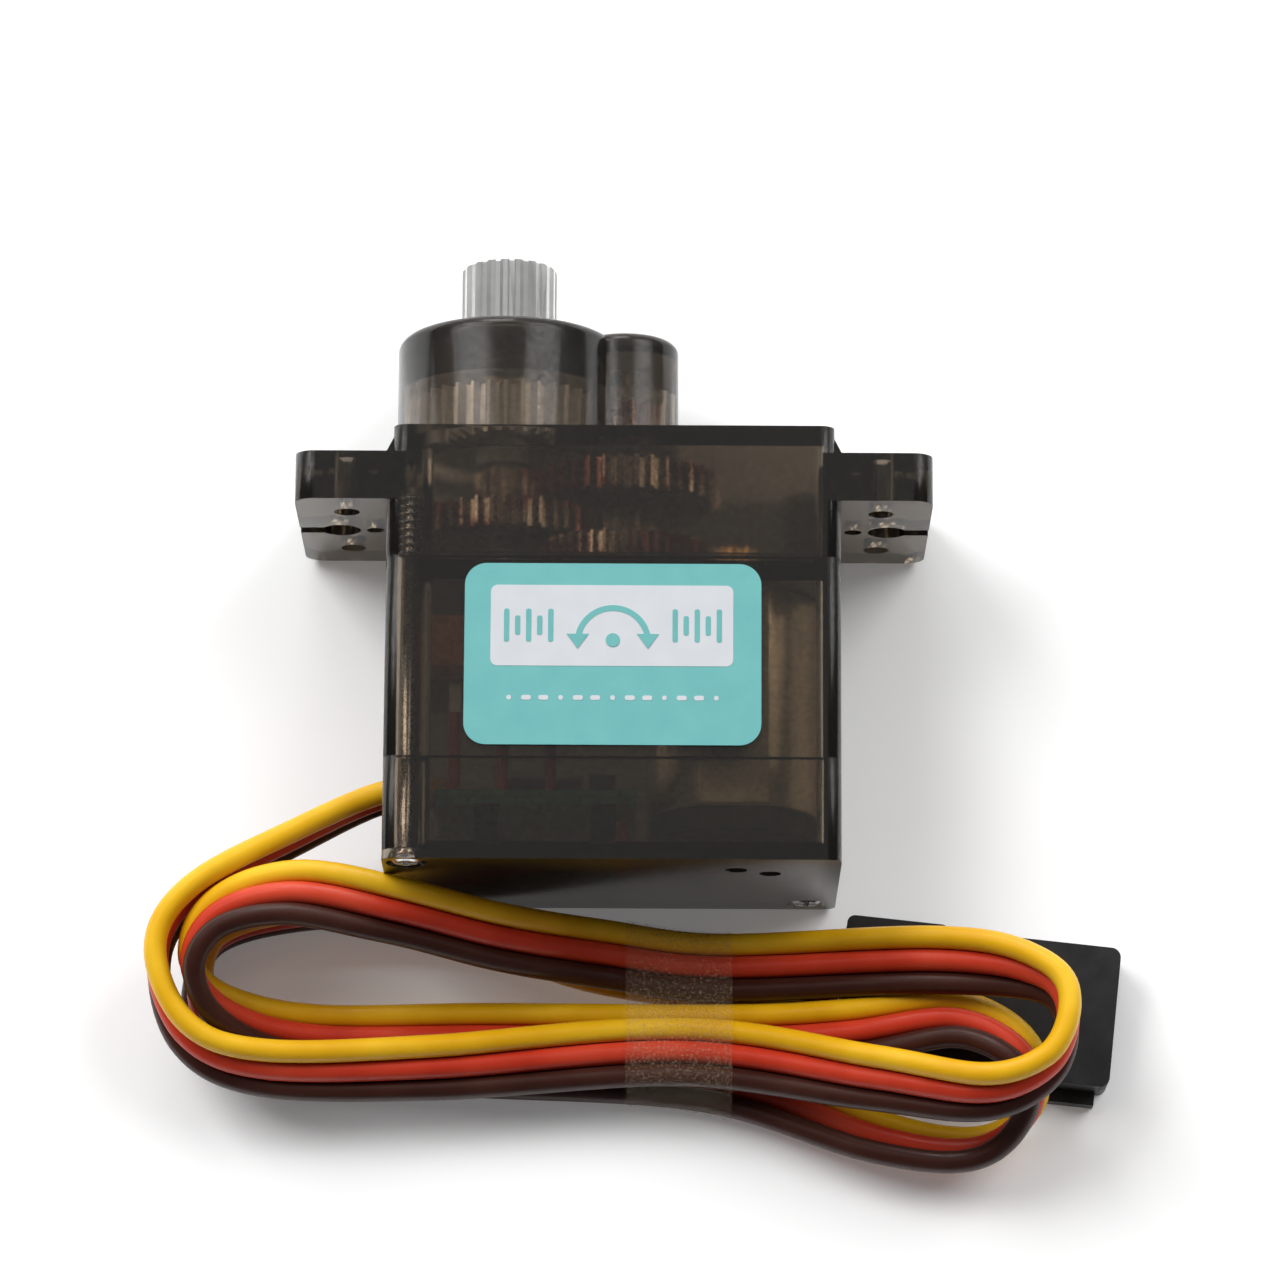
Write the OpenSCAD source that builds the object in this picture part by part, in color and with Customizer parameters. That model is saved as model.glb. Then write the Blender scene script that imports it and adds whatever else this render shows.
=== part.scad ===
// Micro servo motor of the 9 g class, with a metal gear train and a three-wire lead.
// The servo's own parts are modelled standing up: X is the width, the label faces -Y and
// Z runs up the output shaft from the bottom of the case. lay_down() then lays the servo
// on its broad back face, so the output shaft points along +Y and the label faces up.
// The lead and its plug are modelled where they lie on the surface beside it.

/* [Case] */
// Width of the case below the ears
case_width = 22.8; // [22.8:0.1:23.4]
// Depth of the case, from the label face to the back face
case_depth = 12.2; // [12.2:0.1:12.8]
// Thickness of the case walls
case_wall = 0.85; // [0.8:0.05:0.95]
// Height of the seam between the bottom cover and the middle case
bottom_seam = 5.2; // [5.1:0.1:5.4]
// Height of the seam between the middle case and the top case
top_seam = 15.5; // [15.4:0.1:15.6]
// Height of the flat roof beside the boss
roof_height = 22.3; // [22.3:0.1:22.8]
// Width of the case above the ears
neck_width = 22.2; // [22:0.1:22.4]

/* [Ears] */
// Distance between the outer ends of the two ears
ear_span = 32.1; // [31.8:0.1:32.6]
// Height of the underside of the ears
ear_underside = 18.4; // [18.2:0.1:18.6]
// Thickness of the ears
ear_thickness = 2.5; // [2.2:0.1:2.8]
// Distance between the two main mounting holes
mount_spacing = 27.9; // [27.7:0.1:28.1]
// Diameter of the main mounting holes
mount_hole = 2.0; // [1.8:0.1:2.2]

/* [Boss] */
// Height of the boss above the roof
boss_height = 6.0; // [5.9:0.1:6.4]
// Outer radius of the large boss, over the output gear
boss_radius = 5.65; // [5.65:0.05:5.75]
// Outer radius of the small boss, over the gear axle
small_boss_radius = 2.75; // [2.7:0.05:2.9]

/* [Output shaft] */
// Height of the top of the spline
spline_top = 32.3; // [32:0.1:33]
// Diameter over the spline's teeth
spline_diameter = 4.9; // [4.7:0.1:5]
// Number of spline teeth
spline_teeth = 21; // [20, 21, 23, 25]

/* [Gears] */
// Distance of the output axis from the middle of the case
output_offset = 5.5; // [5.4:0.1:5.6]
// Module of the three slow pairs
slow_module = 0.25; // [0.25]
// Module of the motor pinion and its wheel
fast_module = 0.2; // [0.2]
// Teeth of the pinion and the wheel of the third pair
third_pinion_teeth = 12; // [12]
output_wheel_teeth = 36; // [36]
// Teeth of the pinions and the wheels of the first two slow pairs
slow_pinion_teeth = 11; // [11]
slow_wheel_teeth = 37; // [37]
// Teeth of the motor pinion and the wheel it drives
motor_pinion_teeth = 10; // [10]
first_wheel_teeth = 46; // [46]
// Clearance cut from the thickness of every tooth
tooth_clearance = 0.04; // [0.035:0.005:0.05]

/* [Lead] */
// Width of the three-wire ribbon
ribbon_width = 3.5; // [3.4:0.05:3.5]
// Thickness of the ribbon, which is the diameter of one wire
ribbon_thickness = 1.15; // [1.1:0.05:1.15]
// Length of the plug
plug_length = 14; // [13.8:0.1:14.2]
// Width of the plug across its three ways
plug_width = 7.2; // [7.1:0.1:7.4]
// Thickness of the plug
plug_thickness = 2.6; // [2.5:0.1:2.7]

/* [Hidden] */
$fn = 64;

// A cut reaches this far past the face that it opens
over = 0.5;

// Case
inner_width = case_width - 2 * case_wall;
inner_depth = case_depth - 2 * case_wall;
outer_corner = 0.7;
inner_corner = 0.4;
floor_thickness = 1.0;
roof_thickness = 0.9;
deck_thickness = 1.1;
deck_underside = top_seam - deck_thickness;
ear_top = ear_underside + ear_thickness;
ear_corner = 1.0;
ear_fillet = 0.45;
neck_side = neck_width / 2;
lip_height = 0.35;
lip_thickness = 0.45;
lip_clearance = 0.04;

// Ear holes, measured from the middle of the case
slot_width = 1.0;
side_hole = 1.3;
side_hole_x = 13.5;
side_hole_y = 3.5;
tip_hole = 0.9;
tip_hole_x = 12.2;

// Boss
boss_top = roof_height + boss_height;
boss_wall = 0.7;
small_boss_wall = 0.65;
boss_roof = 2.8;
boss_rim = 0.55;
boss_ceiling = boss_top - boss_roof;

// The two case screws stand on one diagonal
screw_places = [[-10.2, -4.8], [9.9, 4.8]];
screw_post = 1.15;
screw_shank = 0.5;
screw_clearance_hole = 0.62;
screw_head = 0.95;
screw_head_height = 0.6;
screw_top = 18.9;
screw_thread = 0.6;
screw_pitch = 0.4;
screw_thread_length = 3.2;

// Axes of the train, all in the middle plane of the case
axle_spacing = slow_module * (third_pinion_teeth + output_wheel_teeth) / 2;
motor_spacing = fast_module * (motor_pinion_teeth + first_wheel_teeth) / 2;
output_x = -output_offset;
axle_x = output_x + axle_spacing;
motor_x = axle_x + motor_spacing;

// Levels of the train
first_wheel_z = 16.0;
first_wheel_height = 1.2;
first_pinion_height = 2.0;
second_wheel_z = 17.5;
second_wheel_height = 1.4;
second_pinion_height = 2.4;
third_wheel_z = 19.5;
third_wheel_height = 1.6;
third_pinion_height = 3.8;
output_wheel_z = 22.5;
output_wheel_height = 2.5;
motor_pinion_z = 15.9;
motor_pinion_height = 1.4;
pressure_angle = 20;
flank_steps = 3;

// Shafts and their running clearances
axle_radius = 0.5;
axle_bottom = 14.7;
axle_top = 26.4;
pot_shaft_radius = 0.9;
motor_shaft_radius = 0.5;
running_clearance = 0.035;
journal_radius = 2.55;
journal_clearance = 0.05;
press_gap = 0.01;

// Output gear
hub_radius = 1.6;
hub_bottom = 21.6;
spline_neck_radius = 2.2;
spline_bottom = boss_top + 0.3;
spline_rim = 0.3;
spline_depth = 0.28;
horn_screw_radius = 0.85;
horn_screw_depth = 6;
shaft_flat = 0.55;
shaft_flat_bottom = 21.5;
shaft_socket_top = 25.2;

// Motor
can_radius = 4.3;
can_flat = 3.95;
can_wall = 0.3;
can_bottom = 3.2;
can_top = deck_underside;
bushing_radius = 1.5;
bushing_top = 15.3;
end_cap_bottom = 1.9;
spigot_height = 0.8;
core_radius = 2.9;
core_bottom = 6.2;
core_height = 5.2;
pole_neck = 0.9;
pole_tip_angle = 96;
core_hub_radius = 1.1;
magnet_inner = 3.2;
magnet_angle = 104;
commutator_radius = 1.1;
commutator_bottom = 4.1;
commutator_height = 1.2;
sleeve_radius = 0.65;
terminal_offset = 2.4;
terminal_bottom = 1.6;
terminal_top = 5.0;

// Potentiometer
pot_wafer_z = 9.6;
pot_wafer_thickness = 0.7;
pot_top = 12.9;
pot_width = 8.4;
pot_depth = 7.6;
pot_cavity = 3.2;
pot_bushing_radius = 1.6;
pot_ceiling = 12.2;

// Circuit board
board_z = 2.9;
board_thickness = 0.8;
board_top = board_z + board_thickness;
board_left = -8.8;
board_right = 1.2;
board_depth = 9.6;

// Label
label_width = 14.8;
label_height = 9.3;
label_corner = 1.1;
label_thickness = 0.12;
label_z = 10.4;

// Clear tape round the bundle of the lead, and the plug
tape_start = 0.6;
tape_length = 5.6;
tape_thickness = 0.06;
plug_place = [11.6, -20.75];
plug_turn = -6;
way_pitch = 2.54;
plug_end_wall = 0.8;

// ---------------------------------------------------------------- shared shapes

// The servo's own frame, laid on its back: up the shaft becomes +Y, the label face +Z
module lay_down() {
  translate([0, -spline_top / 2, case_depth / 2])
    rotate([-90, 0, 0])
      children();
}

module rounded_rectangle(width, depth, radius) {
  square([width - 2 * radius, depth], center = true);
  square([width, depth - 2 * radius], center = true);
  for (x = [-1, 1], y = [-1, 1])
    translate([x * (width / 2 - radius), y * (depth / 2 - radius)])
      circle(radius);
}

module block(low, high) {
  translate(low)
    cube(high - low);
}

module disc(x, radius, low, high) {
  translate([x, 0, low])
    cylinder(r = radius, h = high - low);
}

// A disc with its upper edge rounded
module rounded_disc(x, radius, low, high, rounding) {
  translate([x, 0, 0])
    rotate_extrude() {
      translate([0, low])
        square([radius - rounding, high - low]);
      translate([0, low])
        square([radius, high - low - rounding]);
      translate([radius - rounding, high - rounding])
        circle(rounding);
    }
}

module ring(x, outer, inner, low, high) {
  difference() {
    disc(x, outer, low, high);
    disc(x, inner, low - over, high + over);
  }
}

function involute(angle) = tan(angle) * 180 / PI - angle;

// Half the angle that one tooth takes up at a given radius
function half_tooth(radius, teeth, size) =
  let (
    pitch_radius = teeth * size / 2,
    base_radius = pitch_radius * cos(pressure_angle),
    at_pitch = 90 / teeth - tooth_clearance / (2 * pitch_radius) * 180 / PI,
    rise = radius > base_radius ? involute(acos(base_radius / radius)) : 0
  )
  at_pitch + involute(pressure_angle) - rise;

// Radii of the points along one flank, from the root to the tip
function flank_radii(teeth, size) =
  let (
    root = size * (teeth / 2 - 1.25),
    tip = size * (teeth / 2 + 1),
    start = max(root, size * teeth / 2 * cos(pressure_angle))
  )
  concat(
    start > root ? [root] : [],
    [for (i = [0:flank_steps]) start + (tip - start) * i / flank_steps]
  );

function polar(radius, angle) = [radius * cos(angle), radius * sin(angle)];

function gear_outline(teeth, size) =
  let (radii = flank_radii(teeth, size), last = len(radii) - 1)
  [
    for (tooth = [0:teeth - 1])
      for (i = [0:2 * last + 1])
        let (
          side = i <= last ? -1 : 1,
          radius = radii[i <= last ? i : 2 * last + 1 - i]
        )
        polar(radius, tooth * 360 / teeth + side * half_tooth(radius, teeth, size))
  ];

// A toothed wheel standing on height z, with its first tooth turned to start_angle
module teeth_block(teeth, size, z, height, start_angle = 0) {
  translate([0, 0, z])
    rotate(start_angle)
      linear_extrude(height)
        polygon(gear_outline(teeth, size));
}

module screw_posts(low, high) {
  for (place = screw_places)
    intersection() {
      translate([place.x, place.y, low])
        cylinder(r = screw_post, h = high - low);
      translate([0, 0, low])
        linear_extrude(high - low)
          square([case_width, case_depth], center = true);
    }
}

module screw_holes(radius, low, high) {
  for (place = screw_places)
    translate([place.x, place.y, low])
      cylinder(r = radius, h = high - low);
}

module shell_block(low, high) {
  translate([0, 0, low])
    linear_extrude(high - low)
      rounded_rectangle(case_width, case_depth, outer_corner);
}

// The room inside the walls, less the two screw posts
module shell_room(low, high) {
  difference() {
    translate([0, 0, low])
      linear_extrude(high - low)
        rounded_rectangle(inner_width, inner_depth, inner_corner);
    screw_posts(low - over, high + over);
  }
}

// A rim that locates one shell inside the next
module locating_lip(low, high) {
  gap = 2 * lip_clearance;
  difference() {
    translate([0, 0, low])
      linear_extrude(high - low)
        difference() {
          rounded_rectangle(inner_width - gap, inner_depth - gap, inner_corner);
          rounded_rectangle(inner_width - gap - 2 * lip_thickness,
                            inner_depth - gap - 2 * lip_thickness, inner_corner);
        }
    screw_holes(screw_post + lip_clearance, low - over, high + over);
  }
}

// ---------------------------------------------------------------- case

module ear_holes() {
  depth = ear_thickness + 2 * over;
  translate([0, 0, ear_underside - over])
    for (side = [-1, 1]) {
      translate([side * mount_spacing / 2, 0, 0])
        cylinder(d = mount_hole, h = depth);
      translate([side * (mount_spacing / 2 + ear_span / 4), 0, depth / 2])
        cube([ear_span / 2, slot_width, depth], center = true);
      translate([side * tip_hole_x, 0, 0])
        cylinder(d = tip_hole, h = depth);
      for (y = [-1, 1])
        translate([side * side_hole_x, y * side_hole_y, 0])
          cylinder(d = side_hole, h = depth);
    }
}

module ears() {
  difference() {
    translate([0, 0, ear_underside])
      linear_extrude(ear_thickness)
        rounded_rectangle(ear_span, case_depth, ear_corner);
    ear_holes();
  }
}

// Small sloped fillets between the ears and the neck
module ear_fillets() {
  for (side = [0, 1])
    mirror([side, 0, 0])
      translate([neck_side, case_depth / 2 - outer_corner, ear_top])
        rotate([90, 0, 0])
          linear_extrude(case_depth - 2 * outer_corner)
            polygon([[-over, -over], [ear_fillet, -over], [ear_fillet, 0],
                     [0, 2 * ear_fillet], [-over, 2 * ear_fillet]]);
}

module boss() {
  rounded_disc(output_x, boss_radius, roof_height - over, boss_top, boss_rim);
  rounded_disc(axle_x, small_boss_radius, roof_height - over, boss_top, boss_rim);
}

module boss_room(low) {
  disc(output_x, boss_radius - boss_wall, low, boss_ceiling);
  disc(axle_x, small_boss_radius - small_boss_wall, low, boss_ceiling);
}

module top_case() {
  ceiling = roof_height - roof_thickness;
  color([0.16, 0.14, 0.13, 0.6])
    difference() {
      union() {
        shell_block(top_seam, ear_top);
        ears();
        ear_fillets();
        translate([0, 0, ear_top])
          linear_extrude(roof_height - ear_top)
            rounded_rectangle(neck_width, case_depth, outer_corner);
        boss();
      }
      shell_room(top_seam - over, ceiling);
      boss_room(ceiling - over);
      disc(output_x, journal_radius + journal_clearance, boss_ceiling - over, boss_top + over);
      disc(axle_x, axle_radius + press_gap, boss_ceiling - over, axle_top + 0.1);
      screw_holes(screw_shank + press_gap, top_seam - over, screw_top + 0.2);
    }
}

module middle_case() {
  color([0.16, 0.14, 0.13, 0.6])
    difference() {
      union() {
        shell_block(bottom_seam, top_seam);
        locating_lip(top_seam, top_seam + lip_height);
      }
      shell_room(bottom_seam - over, deck_underside);
      disc(output_x, pot_shaft_radius + running_clearance, deck_underside - over, top_seam + over);
      disc(axle_x, axle_radius + press_gap, axle_bottom, top_seam + over);
      disc(motor_x, bushing_radius + press_gap, deck_underside - over, top_seam + over);
      screw_holes(screw_clearance_hole, bottom_seam - over, top_seam + over);
    }
}

// The slot that the lead leaves through is open to the seam, so the lead can be laid in
module lead_slot() {
  block([-case_width / 2 - over, -ribbon_width / 2 - 0.05, board_top],
        [-inner_width / 2 + over, ribbon_width / 2 + 0.05, bottom_seam + over]);
}

// Two shallow round marks that the mould leaves in the bottom face
module mould_marks() {
  for (mark = [[6.2, -3.5], [7.9, -2.7]])
    translate([mark.x, mark.y, -over])
      cylinder(r = 0.55, h = over + 0.15);
}

// Four ledges that carry the edges of the circuit board
module board_ledges() {
  for (x = [board_left + 2, board_right - 2.2], side = [0, 1])
    mirror([0, side, 0])
      block([x, board_depth / 2 - 0.4, floor_thickness - 0.1], [x + 1.2, inner_depth / 2 + 0.1, board_z]);
}

module bottom_cover() {
  color([0.16, 0.14, 0.13, 0.6]) {
    board_ledges();
    difference() {
      shell_block(0, bottom_seam);
      shell_room(floor_thickness, bottom_seam + over);
      lead_slot();
      mould_marks();
      screw_holes(screw_clearance_hole, -over, bottom_seam + over);
      screw_holes(screw_head + 0.06, -over, screw_head_height);
    }
  }
}

// One long screw: cross-slotted pan head, plain shank, threaded end
module case_screw() {
  thread_bottom = screw_top - screw_thread_length;
  turns = floor(screw_thread_length / screw_pitch);
  difference() {
    rotate_extrude()
      polygon(concat(
        [[0, 0], [screw_head * 0.6, 0],
         [screw_head, screw_head_height * 0.45], [screw_head, screw_head_height],
         [screw_shank, screw_head_height], [screw_shank, thread_bottom]],
        [for (turn = [0:turns - 1], step = [0, 1])
          [step == 0 ? screw_thread : screw_shank - 0.08,
           thread_bottom + screw_pitch * (turn + 0.3 + 0.5 * step)]],
        [[0, screw_top]]
      ));
    for (angle = [0, 90])
      rotate(angle)
        cube([screw_head * 1.1, 0.24, screw_head_height], center = true);
  }
}

module case_screws() {
  color("silver")
    for (place = screw_places)
      translate([place.x, place.y, 0])
        case_screw();
}

module label() {
  color([0.44, 0.75, 0.75])
    translate([0, -case_depth / 2, label_z])
      rotate([90, 0, 0])
        linear_extrude(label_thickness)
          rounded_rectangle(label_width, label_height, label_corner);
}

// ---------------------------------------------------------------- gear train

function spline_outline() =
  [
    for (tooth = [0:spline_teeth - 1])
      for (corner = [[0, -0.32], [1, -0.17], [1, 0.17], [0, 0.32]])
        polar(spline_diameter / 2 - spline_depth * (1 - corner[0]),
              (tooth + corner[1]) * 360 / spline_teeth)
  ];

// A round shaft with a flat on its +X side
module flatted_shaft(radius, flat, low, high) {
  intersection() {
    disc(0, radius, low, high);
    block([-2 * radius, -2 * radius, low - over], [flat, 2 * radius, high + over]);
  }
}

module spline() {
  intersection() {
    translate([0, 0, spline_bottom])
      linear_extrude(spline_top - spline_bottom)
        polygon(spline_outline());
    rounded_disc(0, spline_diameter / 2 + 0.02, spline_bottom - over, spline_top, spline_rim);
  }
}

module output_gear() {
  color("silver")
    translate([output_x, 0, 0])
      difference() {
        union() {
          disc(0, hub_radius, hub_bottom, output_wheel_z + over);
          teeth_block(output_wheel_teeth, slow_module, output_wheel_z, output_wheel_height);
          disc(0, journal_radius, output_wheel_z + output_wheel_height - over, boss_top + 0.05);
          disc(0, spline_neck_radius - 0.1, boss_top - over, spline_bottom + over);
          spline();
        }
        disc(0, horn_screw_radius, spline_top - horn_screw_depth, spline_top + over);
        flatted_shaft(pot_shaft_radius + press_gap, shaft_flat + press_gap,
                      hub_bottom - over, shaft_socket_top);
      }
}

module third_gear() {
  pinion_z = third_wheel_z + third_wheel_height;
  color([0.80, 0.62, 0.30])
    translate([axle_x, 0, 0])
      difference() {
        union() {
          teeth_block(slow_wheel_teeth, slow_module, third_wheel_z, third_wheel_height,
                      180 / slow_wheel_teeth);
          teeth_block(third_pinion_teeth, slow_module, pinion_z, third_pinion_height,
                      180 / third_pinion_teeth);
        }
        disc(0, axle_radius + running_clearance, third_wheel_z - over,
             pinion_z + third_pinion_height + over);
      }
}

module second_gear() {
  pinion_z = second_wheel_z + second_wheel_height;
  color([0.80, 0.62, 0.30])
    translate([output_x, 0, 0])
      difference() {
        union() {
          teeth_block(slow_wheel_teeth, slow_module, second_wheel_z, second_wheel_height);
          teeth_block(slow_pinion_teeth, slow_module, pinion_z, second_pinion_height,
                      180 / slow_pinion_teeth);
        }
        disc(0, pot_shaft_radius + running_clearance, second_wheel_z - over,
             pinion_z + second_pinion_height + over);
      }
}

module first_gear() {
  pinion_z = first_wheel_z + first_wheel_height;
  color([0.80, 0.62, 0.30])
    translate([axle_x, 0, 0])
      difference() {
        union() {
          teeth_block(first_wheel_teeth, fast_module, first_wheel_z, first_wheel_height);
          teeth_block(slow_pinion_teeth, slow_module, pinion_z, first_pinion_height);
        }
        disc(0, axle_radius + running_clearance, first_wheel_z - over,
             pinion_z + first_pinion_height + over);
      }
}

module motor_pinion() {
  color([0.80, 0.62, 0.30])
    translate([motor_x, 0, 0])
      difference() {
        teeth_block(motor_pinion_teeth, fast_module, motor_pinion_z, motor_pinion_height,
                    180 / motor_pinion_teeth);
        disc(0, motor_shaft_radius + press_gap, motor_pinion_z - over,
             motor_pinion_z + motor_pinion_height + over);
      }
}

module gear_axle() {
  color("silver")
    disc(axle_x, axle_radius, axle_bottom, axle_top);
}

// ---------------------------------------------------------------- motor

module can_profile(radius, flat) {
  intersection() {
    circle(radius);
    square([2 * radius + 1, 2 * flat], center = true);
  }
}

module can_block(radius, flat, low, high) {
  translate([motor_x, 0, low])
    linear_extrude(high - low)
      can_profile(radius, flat);
}

module motor_can() {
  color([0.72, 0.70, 0.66])
    difference() {
      can_block(can_radius, can_flat, can_bottom, can_top);
      can_block(can_radius - can_wall, can_flat - can_wall, can_bottom - over, can_top - can_wall);
      disc(motor_x, bushing_radius + press_gap, can_top - 1, can_top + over);
    }
}

module motor_end_cap() {
  spigot_top = can_bottom + spigot_height;
  color([0.12, 0.12, 0.12])
    difference() {
      union() {
        can_block(can_radius, can_flat, end_cap_bottom, can_bottom);
        can_block(can_radius - can_wall - press_gap, can_flat - can_wall - press_gap,
                  can_bottom, spigot_top);
      }
      can_block(can_radius - 0.9, can_flat - 0.9, end_cap_bottom + 0.7, spigot_top + over);
      disc(motor_x, 0.9 + press_gap, end_cap_bottom - over, can_bottom);
      for (side = [-1, 1])
        translate([motor_x + side * terminal_offset, 0, can_bottom])
          cube([0.3 + 2 * press_gap, 1.2 + 2 * press_gap, 5], center = true);
    }
}

module motor_shaft() {
  color("silver")
    disc(motor_x, motor_shaft_radius, 1.5, motor_pinion_z + motor_pinion_height);
}

module motor_bushing() {
  color([0.80, 0.62, 0.30])
    ring(motor_x, bushing_radius, motor_shaft_radius + running_clearance, can_top - 0.8, bushing_top);
}

module rear_bushing() {
  color([0.80, 0.62, 0.30])
    ring(motor_x, 0.9, motor_shaft_radius + running_clearance, end_cap_bottom - 0.5, end_cap_bottom + 0.7);
}

// One third of the rotor core: a neck and a curved pole shoe
module pole_profile() {
  translate([0, -pole_neck / 2])
    square([core_radius - 0.4, pole_neck]);
  intersection() {
    difference() {
      circle(core_radius);
      circle(core_radius - 0.55);
    }
    polygon([[0, 0], polar(2 * core_radius, -pole_tip_angle / 2), [2 * core_radius, 0],
             polar(2 * core_radius, pole_tip_angle / 2)]);
  }
}

module motor_core() {
  color([0.45, 0.46, 0.48])
    translate([motor_x, 0, core_bottom])
      linear_extrude(core_height)
        difference() {
          union() {
            circle(core_hub_radius);
            for (pole = [0:2])
              rotate(120 * pole)
                pole_profile();
          }
          circle(motor_shaft_radius + press_gap);
        }
}

// One closed coil round each pole neck
module motor_windings() {
  inner_y = pole_neck + 0.04;
  color([0.72, 0.40, 0.22])
    translate([motor_x, 0, core_bottom + core_height / 2])
      for (pole = [0:2])
        rotate(120 * pole)
          translate([core_hub_radius + 0.55, 0, 0])
            difference() {
              cube([0.8, 1.8, core_height + 1.2], center = true);
              cube([2, inner_y, core_height + 0.04], center = true);
            }
}

// Insulating sleeve under the commutator, with a collar between it and the core
module motor_insulator() {
  commutator_top = commutator_bottom + commutator_height;
  color([0.85, 0.82, 0.74]) {
    ring(motor_x, sleeve_radius, motor_shaft_radius + press_gap, commutator_bottom, commutator_top);
    ring(motor_x, 0.8, motor_shaft_radius + press_gap, commutator_top, core_bottom);
  }
}

module commutator() {
  color([0.72, 0.40, 0.22])
    translate([motor_x, 0, commutator_bottom])
      linear_extrude(commutator_height)
        difference() {
          circle(commutator_radius);
          circle(sleeve_radius + press_gap);
          for (slot = [0:2])
            rotate(60 + 120 * slot)
              translate([0, -0.07])
                square([2, 0.14]);
        }
}

module motor_magnets() {
  outer = can_radius - can_wall - press_gap;
  color([0.22, 0.22, 0.24])
    for (side = [0, 180])
      translate([motor_x, 0, core_bottom - 0.6])
        rotate(side)
          linear_extrude(core_height + 1.8)
            intersection() {
              difference() {
                circle(outer);
                circle(magnet_inner);
              }
              polygon([[0, 0], polar(3 * outer, -magnet_angle / 2), polar(3 * outer, magnet_angle / 2)]);
            }
}

// Two leaf brushes beside the commutator, each on an arm from its terminal
module motor_brushes() {
  low = commutator_bottom + 0.25;
  high = commutator_bottom + commutator_height - 0.25;
  leaf = commutator_radius + 0.07;
  color([0.80, 0.62, 0.30])
    translate([motor_x, 0, 0])
      for (side = [0, 1])
        mirror([side, 0, 0]) {
          block([leaf, -1.1, low], [leaf + 0.12, 1.1, high]);
          block([leaf, -0.6, low], [terminal_offset - 0.15, -0.48, high]);
        }
}

module motor_terminals() {
  color([0.80, 0.76, 0.60])
    for (side = [-1, 1])
      translate([motor_x + side * terminal_offset, 0, 0])
        block([-0.15, -0.6, terminal_bottom], [0.15, 0.6, terminal_top]);
}

// ---------------------------------------------------------------- potentiometer

module pot_housing() {
  color([0.62, 0.34, 0.16])
    difference() {
      union() {
        translate([output_x, 0, pot_wafer_z + pot_wafer_thickness])
          linear_extrude(pot_top - pot_wafer_z - pot_wafer_thickness)
            rounded_rectangle(pot_width, pot_depth, 0.4);
        disc(output_x, pot_bushing_radius, pot_top, deck_underside);
      }
      disc(output_x, pot_cavity, pot_wafer_z - over, pot_ceiling);
      disc(output_x, pot_shaft_radius + running_clearance, pot_ceiling - over, deck_underside + over);
    }
}

module pot_wafer() {
  color([0.50, 0.27, 0.13])
    translate([output_x, 0, pot_wafer_z])
      linear_extrude(pot_wafer_thickness)
        difference() {
          rounded_rectangle(pot_width, pot_depth, 0.4);
          circle(pot_shaft_radius + 0.1);
        }
}

// Horseshoe of resistive ink, open towards the terminals
module pot_track() {
  z = pot_wafer_z + pot_wafer_thickness;
  color([0.10, 0.10, 0.10])
    difference() {
      ring(output_x, 2.9, 2.1, z, z + 0.06);
      translate([output_x, -4, z])
        cube([2.4, 8, 1], center = true);
    }
}

module pot_shaft() {
  color([0.80, 0.78, 0.72])
    translate([output_x, 0, 0]) {
      disc(0, pot_shaft_radius, 10.0, shaft_flat_bottom);
      flatted_shaft(pot_shaft_radius, shaft_flat, shaft_flat_bottom - 0.01, shaft_socket_top - 0.2);
    }
}

module pot_wiper() {
  track_z = pot_wafer_z + pot_wafer_thickness;
  color([0.80, 0.62, 0.30])
    translate([output_x, 0, 0]) {
      ring(0, 2.6, pot_shaft_radius + press_gap, 11.2, 11.7);
      for (side = [-1, 1])
        translate([side * 0.35, 2.4, 0])
          block([-0.12, -0.3, track_z + 0.12], [0.12, 0.3, 11.3]);
    }
}

module pot_terminals() {
  color([0.80, 0.76, 0.60])
    for (way = [-1:1])
      translate([output_x + way * 2.4, -pot_depth / 2 + 0.7, 0])
        block([-0.3, -0.12, 7.6], [0.3, 0.12, pot_wafer_z]);
}

// ---------------------------------------------------------------- circuit board

module circuit_board() {
  color([0.12, 0.36, 0.24])
    block([board_left, -board_depth / 2, board_z], [board_right, board_depth / 2, board_top]);
}

module control_chip() {
  color([0.10, 0.10, 0.11])
    block([-5.4, -2.6, board_top], [-1.5, 2.6, board_top + 1.1]);
}

module driver_transistors() {
  color([0.14, 0.14, 0.15])
    for (y = [2.6, -4.2])
      translate([-0.5, y, board_top])
        block([-0.65, 0, 0], [0.65, 1.5, 0.9]);
}

module chip_capacitors() {
  color([0.70, 0.60, 0.45])
    for (x = [-5.2, -3.6, -2.0])
      block([x - 0.5, 2.7, board_top], [x + 0.5, 3.3, board_top + 0.5]);
}

// A straight length of insulated wire with a rounded end at its far side
module wire_between(from, to, radius) {
  run = to - from;
  translate(from)
    rotate([0, acos(run.z / norm(run)), atan2(run.y, run.x)])
      cylinder(r = radius, h = norm(run));
  translate(to)
    sphere(radius);
}

// Two leads that pass under the motor from its terminals and rise to the board
module motor_leads() {
  radius = 0.28;
  z = terminal_bottom - radius;
  rise_x = board_right - 0.7;
  color([0.70, 0.16, 0.12]) {
    wire_between([motor_x - terminal_offset, 0, z], [rise_x, 0, z], radius);
    wire_between([rise_x, 0, board_z], [rise_x, 0, z], radius);
    wire_between([motor_x + terminal_offset, 0, z], [motor_x + terminal_offset, -1.4, z], radius);
    wire_between([rise_x, -1.4, z], [motor_x + terminal_offset, -1.4, z], radius);
    wire_between([rise_x, -1.4, board_z], [rise_x, -1.4, z], radius);
  }
}

// Three leads from the potentiometer down to the board
module pot_leads() {
  colours = ["firebrick", "goldenrod", "saddlebrown"];
  for (way = [-1:1])
    color(colours[way + 1])
      translate([output_x + way * 2.4, -pot_depth / 2 + 0.7 - 0.45, board_top])
        cylinder(r = 0.3, h = 7.9 - board_top);
}

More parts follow.
